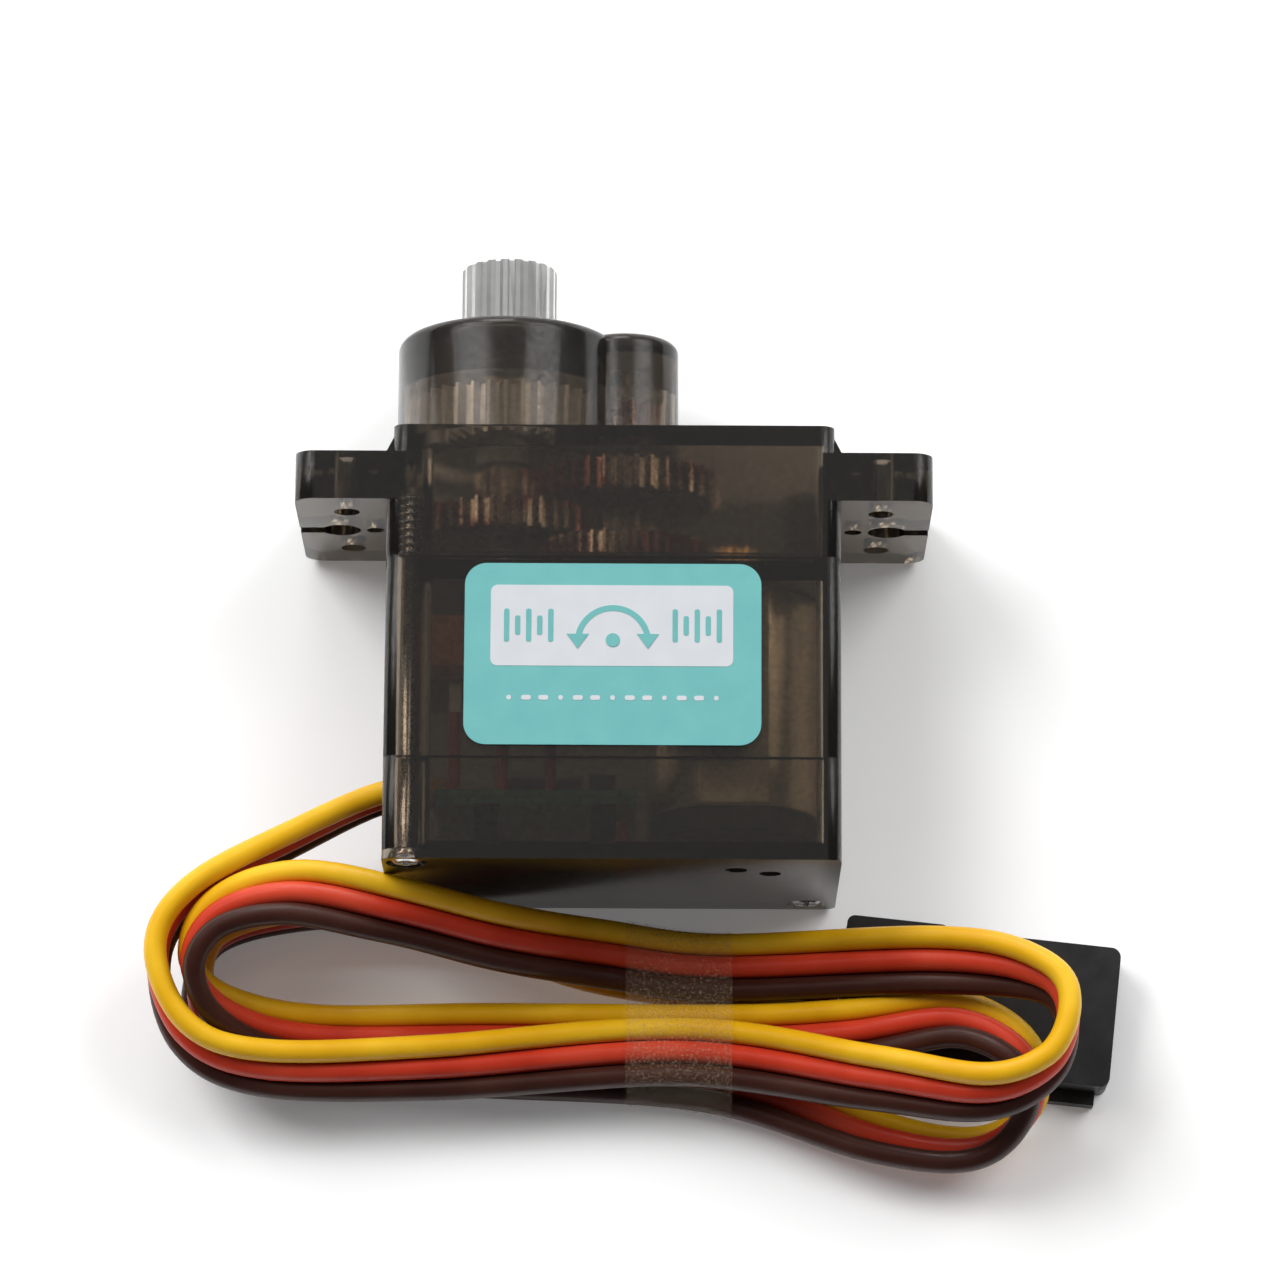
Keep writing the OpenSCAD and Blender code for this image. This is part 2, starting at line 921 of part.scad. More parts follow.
// Solder joints where the three wires of the lead meet the board
module lead_ends() {
  color([0.75, 0.75, 0.76])
    for (way = [-1:1])
      translate([-7.7, way * ribbon_thickness, board_top])
        cylinder(r1 = 0.5, r2 = 0.3, h = 0.6);
}

// ---------------------------------------------------------------- lead

// Middle line of the ribbon on the surface, as [x, y, z, roll]. At roll 0 and 180 the ribbon
// lies flat, at 90 and 270 it stands on edge.
ribbon_route = [
  [-8.2, -11.7, 6.1, 90],
  [-11.4, -11.7, 6.1, 90],
  [-16.0, -13.7, 5.6, 95],
  [-21.1, -16.5, 5.1, 98],
  [-22.9, -19.6, 4.9, 92],
  [-21.5, -23.6, 4.8, 70],
  [-17.6, -25.3, 4.4, 50],
  [-9.0, -25.1, 3.5, 32],
  [3.5, -24.2, 3.4, 8],
  [13.0, -25.8, 5.3, 32],
  [18.7, -26.8, 7.1, 50],
  [21.9, -25.4, 7.3, 72],
  [22.8, -22.7, 7.2, 92],
  [21.4, -20.8, 6.7, 120],
  [16.5, -19.8, 5.3, 160],
  [5.5, -19.7, 2.5, 178],
  [-0.6, -19.1, 3.0, 168],
  [-5.6, -18.8, 5.6, 160],
  [-10.8, -17.9, 7.7, 158],
  [-16.0, -17.0, 7.7, 192],
  [-19.8, -17.9, 6.8, 225],
  [-21.1, -20.3, 5.9, 262],
  [-19.5, -22.3, 4.2, 310],
  [-15.0, -23.3, 2.4, 342],
  [-6.0, -23.2, 1.9, 358],
  [6.0, -23.3, 2.3, 360],
  [12.0, -23.2, 3.6, 355],
  [17.3, -22.6, 4.2, 332],
  [20.6, -24.4, 4.8, 310],
  [21.1, -27.0, 3.5, 275],
  [18.5, -28.8, 2.0, 235],
  [13.5, -28.2, 1.6, 218],
  [5.0, -25.2, 0.9, 190],
  [-7.0, -24.4, 0.7, 180],
  [-17.0, -24.0, 0.9, 170],
  [-20.7, -22.2, 1.6, 120],
  [-20.4, -18.5, 1.8, 95],
  [-16.0, -17.0, 1.8, 90],
  [-10.0, -17.1, 2.0, 95],
  [0.0, -19.2, 0.9, 175],
  [11.55, -20.75, 1.3, 180]
];

function route_point(i) = ribbon_route[min(max(i, 0), len(ribbon_route) - 1)];

// The route with one more point half way along each stretch, on a smooth curve
ribbon_line = concat(
  [for (i = [0:len(ribbon_route) - 2], half = [0, 1])
    half == 0
      ? ribbon_route[i]
      : (9 * (route_point(i) + route_point(i + 1)) - route_point(i - 1) - route_point(i + 2)) / 16],
  [route_point(len(ribbon_route))]
);

function line_place(i) =
  let (point = ribbon_line[min(max(i, 0), len(ribbon_line) - 1)])
  [point.x, point.y, point.z];

// Flat outline of the ribbon, as distances across and through it
ribbon_outline =
  let (edge = ribbon_width / 2, face = ribbon_thickness / 2, corner = ribbon_thickness * 0.3)
  [[edge, corner / 2], [edge - corner, face], [corner - edge, face], [-edge, corner / 2],
   [-edge, -corner / 2], [corner - edge, -face], [edge - corner, -face], [edge, -corner / 2]];

function ribbon_ring(i) =
  let (
    run = line_place(i + 1) - line_place(i - 1),
    forward = run / norm(run),
    level = cross([0, 0, 1], forward),
    side = level / norm(level),
    roll = ribbon_line[i][3],
    across = side * cos(roll) + cross(forward, side) * sin(roll),
    through = cross(forward, across)
  )
  [for (corner = ribbon_outline) line_place(i) + corner.x * across + corner.y * through];

module cable() {
  sides = len(ribbon_outline);
  last = len(ribbon_line) - 1;
  points = [for (i = [0:last]) each ribbon_ring(i)];
  walls = [for (i = [0:last - 1], side = [0:sides - 1])
    let (next = (side + 1) % sides, near = i * sides, far = near + sides)
    each [[near + side, far + side, far + next], [near + side, far + next, near + next]]];
  ends = [[for (side = [0:sides - 1]) side],
          [for (side = [0:sides - 1]) last * sides + sides - 1 - side]];
  color([0.72, 0.16, 0.12])
    polyhedron(points, concat(walls, ends));
}

function unit(v) = v / norm(v);

// The same closed outline drawn in by a distance
function inset(outline, distance) =
  let (count = len(outline))
  [for (i = [0:count - 1])
    let (
      before = unit(outline[i] - outline[(i + count - 1) % count]),
      after = unit(outline[(i + 1) % count] - outline[i]),
      inward = [-before.y - after.y, before.x + after.x]
    )
    outline[i] + inward * distance / (1 + before * after)];

// Outline of the taped bundle across its run, as [y, z]
bundle_outline = [[-27.35, 0.02], [-17.25, 0.02], [-17.25, 3.3], [-17.9, 3.9], [-22.8, 4.75],
                  [-25.7, 4.5], [-27.35, 2.7]];

module cable_tape() {
  color([0.8, 0.8, 0.75, 0.4])
    translate([tape_start, 0, 0])
      rotate([90, 0, 90])
        linear_extrude(tape_length)
          difference() {
            polygon(bundle_outline);
            polygon(inset(bundle_outline, tape_thickness));
          }
}

// The plug's own frame: wires enter at x = 0, the sockets open at x = plug_length
module at_plug() {
  translate([plug_place.x, plug_place.y, plug_thickness / 2])
    rotate(plug_turn)
      children();
}

module plug_cavity() {
  translate([plug_length / 2 - plug_end_wall / 2 - over / 2, 0, 0])
    cube([plug_length - plug_end_wall + over, 1.7, 1.5], center = true);
  rotate([0, 90, 0])
    cylinder(r = 0.45, h = plug_length + over);
  translate([plug_length - 5.2, 0, -plug_thickness / 2])
    cube([1.6, 1.2, plug_thickness], center = true);
}

module plug_housing() {
  shoulder_length = 5.2;
  color([0.08, 0.08, 0.08])
    at_plug()
      difference() {
        union() {
          translate([0, 0, -plug_thickness / 2])
            linear_extrude(plug_thickness)
              translate([plug_length / 2, 0])
                rounded_rectangle(plug_length, plug_width, 0.5);
          translate([0, 0, -plug_thickness / 2])
            linear_extrude(plug_thickness)
              translate([shoulder_length / 2, 0])
                rounded_rectangle(shoulder_length, plug_width + 0.5, 0.4);
          block([plug_length - 3, -plug_width / 2 - 0.7, -plug_thickness / 2],
                [plug_length - 0.6, -plug_width / 2 + 0.3, 0.9 - plug_thickness / 2]);
        }
        for (way = [-1:1])
          translate([0, way * way_pitch, 0])
            plug_cavity();
      }
}

// One square socket with a round crimped tail in each way
module plug_contacts() {
  socket_length = 6.4;
  socket_end = plug_length - plug_end_wall - press_gap;
  color([0.8, 0.7, 0.4])
    at_plug()
      for (way = [-1:1])
        translate([socket_end, way * way_pitch, 0])
          rotate([0, -90, 0])
            difference() {
              union() {
                translate([0, 0, socket_length / 2])
                  cube([1.5 - 2 * press_gap, 1.7 - 2 * press_gap, socket_length], center = true);
                cylinder(r = 0.6, h = socket_length + 4);
              }
              translate([0, 0, -over])
                cylinder(r = 0.37, h = socket_length - 0.6 + over);
            }
}

// ---------------------------------------------------------------- nodes

lay_down() top_case();
lay_down() middle_case();
lay_down() bottom_cover();
lay_down() case_screws();
lay_down() label();
lay_down() output_gear();
lay_down() third_gear();
lay_down() second_gear();
lay_down() first_gear();
lay_down() motor_pinion();
lay_down() gear_axle();
lay_down() motor_can();
lay_down() motor_end_cap();
lay_down() motor_shaft();
lay_down() motor_core();
lay_down() motor_windings();
lay_down() motor_insulator();
lay_down() commutator();
lay_down() motor_magnets();
lay_down() motor_bushing();
lay_down() rear_bushing();
lay_down() motor_brushes();
lay_down() motor_terminals();
lay_down() pot_shaft();
lay_down() pot_housing();
lay_down() pot_wafer();
lay_down() pot_track();
lay_down() pot_wiper();
lay_down() pot_terminals();
lay_down() circuit_board();
lay_down() control_chip();
lay_down() driver_transistors();
lay_down() chip_capacitors();
lay_down() motor_leads();
lay_down() pot_leads();
lay_down() lead_ends();
cable();
cable_tape();
plug_housing();
plug_contacts();
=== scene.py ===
"""A micro servo motor lying on its back beside its taped-up lead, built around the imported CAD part."""

import math

import bmesh
import bpy
from mathutils import Matrix, Vector


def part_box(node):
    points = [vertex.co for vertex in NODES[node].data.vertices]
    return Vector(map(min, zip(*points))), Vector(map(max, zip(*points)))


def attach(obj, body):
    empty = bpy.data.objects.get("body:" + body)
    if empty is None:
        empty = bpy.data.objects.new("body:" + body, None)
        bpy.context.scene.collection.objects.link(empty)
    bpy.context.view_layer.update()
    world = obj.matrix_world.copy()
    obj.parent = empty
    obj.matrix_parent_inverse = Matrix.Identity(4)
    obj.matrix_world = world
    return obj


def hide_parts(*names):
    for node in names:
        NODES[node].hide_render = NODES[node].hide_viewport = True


MM = 0.001

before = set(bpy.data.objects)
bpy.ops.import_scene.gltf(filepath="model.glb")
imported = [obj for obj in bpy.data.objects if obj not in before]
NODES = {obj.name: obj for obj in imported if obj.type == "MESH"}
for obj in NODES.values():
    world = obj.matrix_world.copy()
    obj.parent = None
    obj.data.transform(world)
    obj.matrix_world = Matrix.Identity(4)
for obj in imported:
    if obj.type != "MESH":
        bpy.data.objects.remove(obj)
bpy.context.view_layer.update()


# ------------------------------------------------------------------ camera

CAMERA_PLACE = Vector((1.9, -78.15, 302.1)) * MM
CAMERA_TARGET = Vector((1.34, -3.44, 6.0)) * MM
CAMERA_ROLL = math.radians(-0.3)
CAMERA_LENS = 168.75


def add_camera():
    data = bpy.data.cameras.new("camera")
    data.lens = CAMERA_LENS
    data.sensor_width = 36.0
    data.clip_start = 0.01
    data.clip_end = 10.0
    camera = bpy.data.objects.new("camera", data)
    bpy.context.scene.collection.objects.link(camera)
    back = (CAMERA_PLACE - CAMERA_TARGET).normalized()
    hint = Vector((math.sin(CAMERA_ROLL), math.cos(CAMERA_ROLL), 0))
    right = hint.cross(back).normalized()
    up = back.cross(right)
    turn = Matrix((right, up, back)).transposed().to_4x4()
    camera.matrix_world = Matrix.Translation(CAMERA_PLACE) @ turn
    bpy.context.scene.camera = camera


add_camera()


# ------------------------------------------------------------------ material helpers


class Nodes:
    """A short way to build one material's node tree."""

    def __init__(self, name, **sockets):
        self.material = bpy.data.materials.new(name)
        self.material.use_nodes = True
        self.tree = self.material.node_tree
        self.shader = self.tree.nodes["Principled BSDF"]
        self.output = self.tree.nodes["Material Output"]
        for socket, value in sockets.items():
            self.set(socket.replace("_", " "), value)

    def set(self, socket, value):
        self.shader.inputs[socket].default_value = value

    def add(self, kind, **values):
        node = self.tree.nodes.new(kind)
        for socket, value in values.items():
            node.inputs[socket].default_value = value
        return node

    def link(self, source, target):
        self.tree.links.new(source, target)

    def position(self, scale=(1, 1, 1)):
        """Object coordinates, stretched by scale."""
        place = self.add("ShaderNodeTexCoord")
        mapping = self.add("ShaderNodeMapping")
        mapping.inputs["Scale"].default_value = scale
        self.link(place.outputs["Object"], mapping.inputs["Vector"])
        return mapping.outputs["Vector"]

    def noise(self, size_mm, detail=3.0, stretch=(1, 1, 1)):
        node = self.add("ShaderNodeTexNoise", Scale=1 / (size_mm * MM), Detail=detail)
        self.link(self.position(stretch), node.inputs["Vector"])
        return node.outputs["Fac"]

    def ramp(self, factor, stops):
        node = self.add("ShaderNodeValToRGB")
        ramp = node.color_ramp
        while len(ramp.elements) < len(stops):
            ramp.elements.new(0.5)
        for element, (place, colour) in zip(ramp.elements, stops):
            element.position = place
            element.color = (*colour, 1.0)
        self.link(factor, node.inputs["Fac"])
        return node.outputs["Color"]

    def spread(self, factor, low, high):
        """The factor's middle range mapped to low ... high."""
        node = self.add("ShaderNodeMapRange")
        node.inputs["From Min"].default_value = 0.3
        node.inputs["From Max"].default_value = 0.7
        node.inputs["To Min"].default_value = low
        node.inputs["To Max"].default_value = high
        self.link(factor, node.inputs["Value"])
        return node.outputs["Result"]

    def colour(self, factor, *colours):
        steps = [0.3 + 0.4 * i / (len(colours) - 1) for i in range(len(colours))]
        self.link(self.ramp(factor, list(zip(steps, colours))), self.shader.inputs["Base Color"])

    def roughness(self, factor, low, high):
        self.link(self.spread(factor, low, high), self.shader.inputs["Roughness"])

    def bump(self, factor, strength, depth_mm):
        node = self.add("ShaderNodeBump", Strength=strength, Distance=depth_mm * MM)
        self.link(factor, node.inputs["Height"])
        self.link(node.outputs["Normal"], self.shader.inputs["Normal"])


def smoke_plastic():
    """Smoke-tinted plastic: faintly dusty, and darker the more of it is looked through."""
    m = Nodes("smoke_plastic", IOR=1.5, Transmission_Weight=0.985)
    m.colour(m.noise(0.25, 4.0), (0.48, 0.42, 0.35), (0.60, 0.53, 0.45))
    m.roughness(m.noise(0.25), 0.12, 0.18)
    m.bump(m.noise(0.15, 2.0), 0.12, 0.01)
    tint = m.add("ShaderNodeVolumeAbsorption", Density=900.0)
    tint.inputs["Color"].default_value = (0.38, 0.33, 0.26, 1.0)
    m.link(tint.outputs["Volume"], m.output.inputs["Volume"])
    return m.material


def metal(name, dark, light, rough, grain_mm=0.12, stretch=(1, 1, 1)):
    m = Nodes(name, Metallic=1.0)
    m.colour(m.noise(grain_mm * 4), dark, light)
    m.roughness(m.noise(grain_mm, 4.0, stretch), rough * 0.75, rough * 1.3)
    m.bump(m.noise(grain_mm, 4.0, stretch), 0.15, 0.01)
    return m.material


def greased_brass():
    """Gear brass with patches of red grease left in the teeth."""
    m = Nodes("greased_brass")
    patches = m.noise(4.0, 2.0)
    tones = [(0.42, (0.52, 0.45, 0.38)), (0.50, (0.28, 0.09, 0.06)), (0.58, (0.22, 0.03, 0.02))]
    m.link(m.ramp(patches, tones), m.shader.inputs["Base Color"])
    bareness = [(0.44, (1.0, 1.0, 1.0)), (0.56, (0.15, 0.15, 0.15))]
    m.link(m.ramp(patches, bareness), m.shader.inputs["Metallic"])
    m.roughness(m.noise(0.3), 0.2, 0.34)
    m.bump(m.noise(0.2), 0.15, 0.01)
    return m.material


def moulded(name, dark, light, rough, grain_mm=0.15, depth=0.1, coat=0.0):
    m = Nodes(name, Coat_Weight=coat, Coat_Roughness=0.08)
    m.colour(m.noise(1.4), dark, light)
    m.roughness(m.noise(grain_mm * 2), rough * 0.85, rough * 1.15)
    m.bump(m.noise(grain_mm, 2.0), depth, 0.02)
    return m.material


def wire_vinyl(name, deep, main, light):
    """Extruded insulation with a soft shine, a little uneven in tone along its length."""
    m = Nodes(name, Specular_IOR_Level=0.4)
    m.colour(m.noise(5.0), deep, main, light)
    m.roughness(m.noise(0.8), 0.30, 0.44)
    m.bump(m.noise(0.25, 2.0), 0.12, 0.02)
    return m.material


def clear_film():
    """Clear tape, creased and specked with trapped air."""
    m = Nodes("clear_film", IOR=1.45)
    m.set("Base Color", (0.50, 0.38, 0.26, 1.0))
    specks = m.noise(0.13, 4.0)
    opacity = m.ramp(specks, [(0.52, (0.025, 0.025, 0.025)), (0.74, (0.24, 0.24, 0.24))])
    m.link(opacity, m.shader.inputs["Alpha"])
    m.roughness(m.noise(0.3), 0.12, 0.35)
    m.bump(m.noise(0.2, 4.0), 0.5, 0.05)
    return m.material


def board_mask():
    """Green solder mask with darker copper runs under it."""
    m = Nodes("board_mask", Coat_Weight=0.4, Coat_Roughness=0.15)
    bricks = m.add("ShaderNodeTexBrick", Scale=1 / (1.6 * MM))
    bricks.inputs["Color1"].default_value = (0.02, 0.14, 0.07, 1)
    bricks.inputs["Color2"].default_value = (0.03, 0.18, 0.09, 1)
    bricks.inputs["Mortar"].default_value = (0.015, 0.09, 0.05, 1)
    bricks.inputs["Mortar Size"].default_value = 0.03
    m.link(m.position(), bricks.inputs["Vector"])
    m.link(bricks.outputs["Color"], m.shader.inputs["Base Color"])
    m.roughness(m.noise(0.4), 0.3, 0.45)
    return m.material


SMOKE = smoke_plastic()
STEEL = metal("bright_steel", (0.55, 0.55, 0.57), (0.86, 0.86, 0.87), 0.25)
SPLINE_STEEL = metal("spline_steel", (0.88, 0.88, 0.87), (0.95, 0.95, 0.94), 0.5, 0.2)
CAN_STEEL = metal("can_steel", (0.80, 0.74, 0.60), (0.92, 0.86, 0.72), 0.38, 0.3)
GREASED = greased_brass()
BRASS = metal("bearing_brass", (0.72, 0.44, 0.16), (0.92, 0.68, 0.32), 0.28)
COPPER = metal("copper", (0.62, 0.28, 0.12), (0.86, 0.46, 0.24), 0.3)
IRON = metal("core_iron", (0.30, 0.30, 0.31), (0.46, 0.46, 0.48), 0.45)
TIN = metal("tinned_metal", (0.62, 0.60, 0.52), (0.82, 0.80, 0.72), 0.35)
GOLD = metal("contact_gold", (0.75, 0.55, 0.22), (0.92, 0.74, 0.38), 0.25)
BLACK = moulded("plug_black", (0.012, 0.012, 0.013), (0.022, 0.022, 0.023), 0.5, 0.12, 0.25)
CAP_BLACK = moulded("cap_black", (0.015, 0.015, 0.015), (0.03, 0.03, 0.03), 0.55)
CHIP = moulded("chip_epoxy", (0.015, 0.015, 0.018), (0.03, 0.03, 0.034), 0.5)
MAGNET = moulded("ferrite", (0.03, 0.03, 0.035), (0.06, 0.06, 0.065), 0.6)
CREAM = moulded("insulator_cream", (0.62, 0.56, 0.42), (0.78, 0.72, 0.58), 0.5)
POT = moulded("pot_orange", (0.80, 0.27, 0.05), (0.92, 0.38, 0.09), 0.45)
LAMINATE = moulded("pot_laminate", (0.26, 0.10, 0.03), (0.36, 0.15, 0.05), 0.55)
INK = moulded("resistive_ink", (0.01, 0.01, 0.01), (0.02, 0.02, 0.02), 0.4)
CERAMIC = moulded("capacitor_ceramic", (0.45, 0.34, 0.22), (0.6, 0.48, 0.33), 0.5)
LABEL_TEAL = moulded("label_teal", (0.150, 0.44, 0.44), (0.165, 0.47, 0.465), 0.42, 0.3, 0.04, 0.1)
PRINT_WHITE = moulded("print_white", (0.60, 0.62, 0.65), (0.63, 0.65, 0.68), 0.45, 0.3, 0.04, 0.1)
PRINT_TEAL = moulded("print_teal", (0.14, 0.42, 0.42), (0.16, 0.46, 0.45), 0.45, 0.3, 0.04, 0.1)
YELLOW = wire_vinyl("wire_yellow", (0.66, 0.33, 0.004), (0.76, 0.41, 0.008), (0.84, 0.50, 0.02))
RED = wire_vinyl("wire_red", (0.44, 0.026, 0.010), (0.54, 0.040, 0.016), (0.62, 0.065, 0.03))
BROWN = wire_vinyl("wire_brown", (0.030, 0.008, 0.005), (0.042, 0.012, 0.008), (0.058, 0.019, 0.013))
BOARD = board_mask()
FILM = clear_film()

NODE_LOOKS = {
    SMOKE: ["top_case", "middle_case", "bottom_cover"],
    STEEL: ["case_screws", "gear_axle", "motor_shaft", "pot_shaft", "lead_ends"],
    SPLINE_STEEL: ["output_gear"],
    GREASED: ["third_gear", "second_gear", "first_gear"],
    BRASS: ["motor_pinion", "motor_bushing", "rear_bushing", "motor_brushes", "pot_wiper"],
    CAN_STEEL: ["motor_can"],
    COPPER: ["motor_windings", "commutator"],
    IRON: ["motor_core"],
    TIN: ["motor_terminals", "pot_terminals"],
    GOLD: ["plug_contacts"],
    BLACK: ["plug_housing"],
    CAP_BLACK: ["motor_end_cap"],
    CHIP: ["control_chip", "driver_transistors"],
    MAGNET: ["motor_magnets"],
    CREAM: ["motor_insulator"],
    POT: ["pot_housing"],
    LAMINATE: ["pot_wafer"],
    INK: ["pot_track"],
    CERAMIC: ["chip_capacitors"],
    LABEL_TEAL: ["label"],
    RED: ["motor_leads", "pot_leads"],
    BOARD: ["circuit_board"],
}

# Width in mm of the rounding that each moulded or cut piece has along its edges
EDGE_ROUNDING = {
    "top_case": 0.3, "middle_case": 0.12, "bottom_cover": 0.25, "plug_housing": 0.14,
    "output_gear": 0.04, "case_screws": 0.04, "motor_can": 0.15, "motor_end_cap": 0.1,
    "pot_housing": 0.1, "control_chip": 0.08,
}


def dress_nodes():
    for material, names in NODE_LOOKS.items():
        for name in names:
            slots = NODES[name].data.materials
            slots.clear()
            slots.append(material)
    for name, width in EDGE_ROUNDING.items():
        weld = NODES[name].modifiers.new("weld", "WELD")
        weld.merge_threshold = 0.002 * MM
        bevel = NODES[name].modifiers.new("edges", "BEVEL")
        bevel.width = width * MM
        bevel.segments = 2
        bevel.limit_method = "ANGLE"
        bevel.angle_limit = math.radians(40)
        bevel.harden_normals = True


# ------------------------------------------------------------------ mesh helpers


def mesh_object(name, vertices, faces, materials, material_of_face=None, smooth=False):
    mesh = bpy.data.meshes.new(name)
    mesh.from_pydata([tuple(v) for v in vertices], [], faces)
    for material in materials:
        mesh.materials.append(material)
    for i, polygon in enumerate(mesh.polygons):
        polygon.use_smooth = smooth
        if material_of_face:
            polygon.material_index = material_of_face[i]
    mesh.update()
    thing = bpy.data.objects.new(name, mesh)
    bpy.context.scene.collection.objects.link(thing)
    return thing


def bridge(near, far, count):
    """Quads between two closed rings of count vertices, one numbered from near and one from far."""
    quads = []
    for i in range(count):
        after = (i + 1) % count
        quads.append((near + i, near + after, far + after, far + i))
    return quads


def turned_over(faces):
    return [face[::-1] for face in faces]


def tube_faces(first, rings, sides):
    """The wall and both ends of a tube whose rings of vertices follow one another from first."""
    faces = []
    for ring in range(rings - 1):
        near = first + ring * sides
        faces += bridge(near, near + sides, sides)
    faces.append(tuple(first + side for side in reversed(range(sides))))
    last = first + (rings - 1) * sides
    faces.append(tuple(last + side for side in range(sides)))
    return faces


# ------------------------------------------------------------------ lead

WIRE_RADIUS = 0.583 * MM
WIRE_SPACING = 1.165 * MM

# Middle line of the ribbon as (x, y, z, roll), in mm and degrees. At roll 0 and 180 the ribbon
# lies flat, at 90 and 270 it stands on edge.
RIBBON_ROUTE = [
    (-8.2, -11.7, 6.1, 90), (-11.4, -11.7, 6.1, 90), (-16.0, -13.7, 5.6, 95),
    (-21.1, -16.5, 5.1, 98), (-22.9, -19.6, 4.9, 92), (-21.5, -23.6, 4.8, 70),
    (-17.6, -25.3, 4.4, 50), (-9.0, -25.1, 3.5, 32), (3.5, -24.2, 3.4, 8),
    (13.0, -25.8, 5.3, 32), (18.7, -26.8, 7.1, 50), (21.9, -25.4, 7.3, 72),
    (22.8, -22.7, 7.2, 92), (21.4, -20.8, 6.7, 120), (16.5, -19.8, 5.3, 160),
    (5.5, -19.7, 2.5, 178), (-0.6, -19.1, 3.0, 168), (-5.6, -18.8, 5.6, 160),
    (-10.8, -17.9, 7.7, 158), (-16.0, -17.0, 7.7, 192), (-19.8, -17.9, 6.8, 225),
    (-21.1, -20.3, 5.9, 262), (-19.5, -22.3, 4.2, 310), (-15.0, -23.3, 2.4, 342),
    (-6.0, -23.2, 1.9, 358), (6.0, -23.3, 2.3, 360), (12.0, -23.2, 3.6, 355),
    (17.3, -22.6, 4.2, 332), (20.6, -24.4, 4.8, 310), (21.1, -27.0, 3.5, 275),
    (18.5, -28.8, 2.0, 235), (13.5, -28.2, 1.6, 218), (5.0, -25.2, 0.9, 190),
    (-7.0, -24.4, 0.7, 180), (-17.0, -24.0, 0.9, 170), (-20.7, -22.2, 1.6, 120),
    (-20.4, -18.5, 1.8, 95), (-16.0, -17.0, 1.8, 90), (-10.0, -17.1, 2.0, 95),
    (0.0, -19.2, 0.9, 175), (11.55, -20.75, 1.3, 180),
]
STEPS_PER_STRETCH = 10


def catmull_rom(a, b, c, d, t):
    """A point between b and c on the smooth curve through a, b, c and d."""
    return [
        0.5 * (2 * q + (r - p) * t + (2 * p - 5 * q + 4 * r - s) * t * t
               + (3 * q - p - 3 * r + s) * t * t * t)
        for p, q, r, s in zip(a, b, c, d)
    ]


def ribbon_line():
    """Places along the ribbon's middle line in metres, each with its roll in radians."""
    last = len(RIBBON_ROUTE) - 1
    line = []
    for i in range(last):
        around = [RIBBON_ROUTE[min(max(j, 0), last)] for j in range(i - 1, i + 3)]
        for step in range(STEPS_PER_STRETCH):
            line.append(catmull_rom(*around, step / STEPS_PER_STRETCH))
    line.append(list(RIBBON_ROUTE[last]))
    return [(Vector(p[:3]) * MM, math.radians(p[3])) for p in line]


def ribbon_axes(line):
    """Directions across and through the ribbon at each place."""
    axes = []
    for i, (_, roll) in enumerate(line):
        ahead = line[min(i + 1, len(line) - 1)][0]
        behind = line[max(i - 1, 0)][0]
        forward = (ahead - behind).normalized()
        side = Vector((0, 0, 1)).cross(forward).normalized()
        across = side * math.cos(roll) + forward.cross(side) * math.sin(roll)
        axes.append((across, forward.cross(across)))
    return axes


def add_lead():
    line = ribbon_line()
    axes = ribbon_axes(line)
    sides = 16
    vertices, faces, looks = [], [], []
    for wire in (-1, 0, 1):
        first = len(vertices)
        for (place, _), (across, through) in zip(line, axes):
            centre = place + across * (wire * WIRE_SPACING)
            for side in range(sides):
                angle = 2 * math.pi * side / sides
                vertices.append(
                    centre + (across * math.cos(angle) + through * math.sin(angle)) * WIRE_RADIUS
                )
        new = tube_faces(first, len(line), sides)
        faces += new
        looks += [wire + 1] * len(new)
    lead = mesh_object("lead_ribbon", vertices, faces, [BROWN, RED, YELLOW], looks, smooth=True)
    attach(lead, "case")
    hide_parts("cable")
    return lead, [place for place, _ in line]


# ------------------------------------------------------------------ tape

TAPE_SPAN = (0.7 * MM, 6.1 * MM)
TAPE_STATIONS = 19
TAPE_POINTS = 96
TAPE_GAP = 0.05 * MM
TAPE_THICKNESS = 0.05 * MM


def convex_outline(points):
    """Counter-clockwise convex outline of 2-D points."""
    points = sorted(set(points))

    def half(ordered):
        chain = []
        for p in ordered:
            while len(chain) > 1:
                (ax, ay), (bx, by) = chain[-2], chain[-1]
                if (bx - ax) * (p[1] - ay) - (by - ay) * (p[0] - ax) > 0:
                    break
                chain.pop()
            chain.append(p)
        return chain[:-1]

    return half(points) + half(points[::-1])


def resampled(outline, count):
    """The same closed outline as count evenly spaced points."""
    closed = [Vector(p) for p in outline + outline[:1]]
    lengths = [(b - a).length for a, b in zip(closed, closed[1:])]
    total = sum(lengths)
    result = []
    edge, passed = 0, 0.0
    for i in range(count):
        wanted = total * i / count
        while passed + lengths[edge] < wanted:
            passed += lengths[edge]
            edge += 1
        share = (wanted - passed) / lengths[edge]
        result.append(closed[edge].lerp(closed[edge + 1], share))
    return result


def grown(points, distance):
    """The closed counter-clockwise outline moved outwards by a distance."""
    count = len(points)
    result = []
    for i, point in enumerate(points):
        along = points[(i + 2) % count] - points[i - 2]
        outward = Vector((along.y, -along.x)).normalized()
        result.append(point + outward * distance)
    return result


